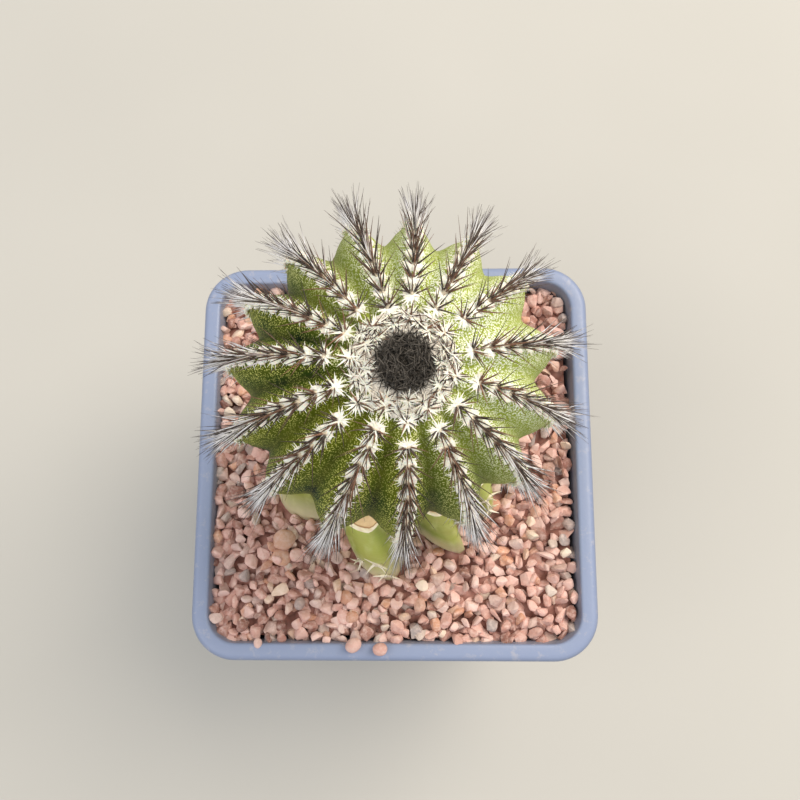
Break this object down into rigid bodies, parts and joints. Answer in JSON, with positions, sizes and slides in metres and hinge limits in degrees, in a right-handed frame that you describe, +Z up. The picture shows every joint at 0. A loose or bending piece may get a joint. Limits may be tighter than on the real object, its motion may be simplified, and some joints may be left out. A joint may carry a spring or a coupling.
{
  "type": "potted cactus",
  "caption": "Globular cactus with sharp, comb-spined ribs, grafted on a ribbed green column that stands in pink grit in a tapered square plastic pot.",
  "frame": {"origin": "middle of the square pot's footprint, at the level it stands on", "axes": "+Z up along the pot; +Y away from the side the rootstock and scion lean to show, +X to the right of it"},
  "size_m": [0.09, 0.09, 0.1673],
  "materials": {
    "pot_plastic": "satin",
    "grit": "matte",
    "rootstock_skin": "satin",
    "scion_skin": "matte",
    "comb_spines": "matte",
    "crown_spines": "matte"
  },
  "bodies": {
    "root": {"pot": "pot_plastic", "grit_bed": "grit", "rootstock": "rootstock_skin", "scion_body": "scion_skin", "crown_tuft": "crown_spines", "rib_comb_01": "comb_spines", "rib_comb_02": "comb_spines", "rib_comb_03": "comb_spines", "rib_comb_04": "comb_spines", "rib_comb_05": "comb_spines", "rib_comb_06": "comb_spines", "rib_comb_07": "comb_spines", "rib_comb_08": "comb_spines", "rib_comb_09": "comb_spines", "rib_comb_10": "comb_spines", "rib_comb_11": "comb_spines", "rib_comb_12": "comb_spines", "rib_comb_13": "comb_spines", "rib_comb_14": "comb_spines", "rib_comb_15": "comb_spines"}
  },
  "joints": []
}
